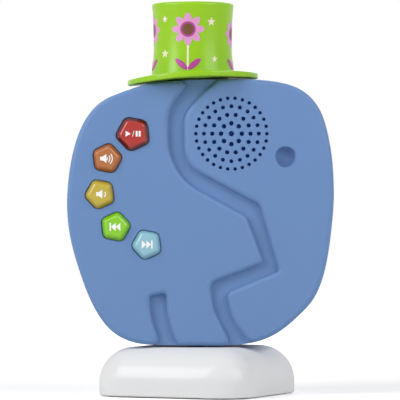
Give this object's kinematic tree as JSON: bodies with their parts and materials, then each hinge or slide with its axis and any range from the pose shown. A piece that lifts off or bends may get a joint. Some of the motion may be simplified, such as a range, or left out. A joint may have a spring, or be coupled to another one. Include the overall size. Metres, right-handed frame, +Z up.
{
  "type": "audio story player",
  "caption": "Animal-shaped audio story player for children: flat rounded body with relief grooves, speaker grille and pentagon buttons, lift-off top hat, swivel stand.",
  "frame": {"origin": "centre of the stand's rest face on the swivel axis, at floor level", "axes": "+Z up along the swivel axis; the player's face looks to -Y; +X to the viewer's right when looking at the face"},
  "size_m": [0.1427, 0.1052, 0.2112],
  "materials": {
    "player_blue": "satin",
    "stand_white": "polished",
    "post_white": "satin",
    "pad_rubber": "matt",
    "inner_black": "matt",
    "ballast_steel": "plain",
    "screw_steel": "plain",
    "bush_acetal": "satin",
    "hat_green": "semi-gloss",
    "play_red": "polished",
    "volume_up_orange": "polished",
    "volume_down_yellow": "polished",
    "previous_green": "polished",
    "next_blue": "polished",
    "grille_fabric": "woven",
    "gasket_foam": "matt",
    "basket_metal": "black",
    "magnet_ferrite": "dark grey",
    "cone_paper": "black",
    "surround_rubber": "matt",
    "board_green": "solder mask",
    "chip_black": "matt",
    "socket_steel": "plain",
    "cell_wrap": "film",
    "magnet_nickel": "plated",
    "tag_white": "film"
  },
  "bodies": {
    "base": {"base_shell": "stand_white", "base_floor": "stand_white", "base_ballast": "ballast_steel", "base_pad": "pad_rubber", "base_screws": "screw_steel", "swivel_post": "post_white", "post_screws": "screw_steel", "thrust_washer": "bush_acetal", "retaining_washer": "screw_steel", "retaining_screw": "screw_steel"},
    "player": {"front_shell": "player_blue", "rear_shell": "player_blue", "shell_screws": "screw_steel", "swivel_bush": "bush_acetal", "hat_socket": "player_blue", "socket_magnets": "magnet_nickel", "reader_board": "board_green", "grille_mesh": "grille_fabric", "speaker_gasket": "gasket_foam", "speaker_basket": "basket_metal", "speaker_cone": "cone_paper", "speaker_surround": "surround_rubber", "speaker_magnet": "magnet_ferrite", "speaker_screws": "screw_steel", "button_board": "board_green", "tact_switches": "chip_black", "button_board_screws": "screw_steel", "main_board": "board_green", "main_board_parts": "chip_black", "main_board_screws": "screw_steel", "usb_socket": "socket_steel", "battery_cradle": "inner_black", "battery_cell": "cell_wrap"},
    "hat": {"hat_shell": "hat_green", "hat_plug": "hat_green", "hat_magnets": "magnet_nickel", "story_tag": "tag_white"},
    "play_key": {"play_cap": "play_red", "play_plunger": "chip_black"},
    "volume_up_key": {"volume_up_cap": "volume_up_orange", "volume_up_plunger": "chip_black"},
    "volume_down_key": {"volume_down_cap": "volume_down_yellow", "volume_down_plunger": "chip_black"},
    "previous_key": {"previous_cap": "previous_green", "previous_plunger": "chip_black"},
    "next_key": {"next_cap": "next_blue", "next_plunger": "chip_black"}
  },
  "joints": [
    {"name": "base_swivel", "type": "hinge", "parent": "base", "child": "player", "pos_m": [0, 0, 0.0272], "axis": [0, 0, 1], "continuous": true},
    {"name": "hat_lift", "type": "slide", "parent": "player", "child": "hat", "axis": [0, 0, 1], "range_m": [0, 0.06]},
    {"name": "play_press", "type": "slide", "parent": "player", "child": "play_key", "axis": [0, 1, 0], "range_m": [0, 0.0012], "stiffness_N_per_m": 1200, "springref_m": -0.0003},
    {"name": "volume_up_press", "type": "slide", "parent": "player", "child": "volume_up_key", "axis": [0, 1, 0], "range_m": [0, 0.0012], "stiffness_N_per_m": 1200, "springref_m": -0.0003},
    {"name": "volume_down_press", "type": "slide", "parent": "player", "child": "volume_down_key", "axis": [0, 1, 0], "range_m": [0, 0.0012], "stiffness_N_per_m": 1200, "springref_m": -0.0003},
    {"name": "previous_press", "type": "slide", "parent": "player", "child": "previous_key", "axis": [0, 1, 0], "range_m": [0, 0.0012], "stiffness_N_per_m": 1200, "springref_m": -0.0003},
    {"name": "next_press", "type": "slide", "parent": "player", "child": "next_key", "axis": [0, 1, 0], "range_m": [0, 0.0012], "stiffness_N_per_m": 1200, "springref_m": -0.0003}
  ]
}
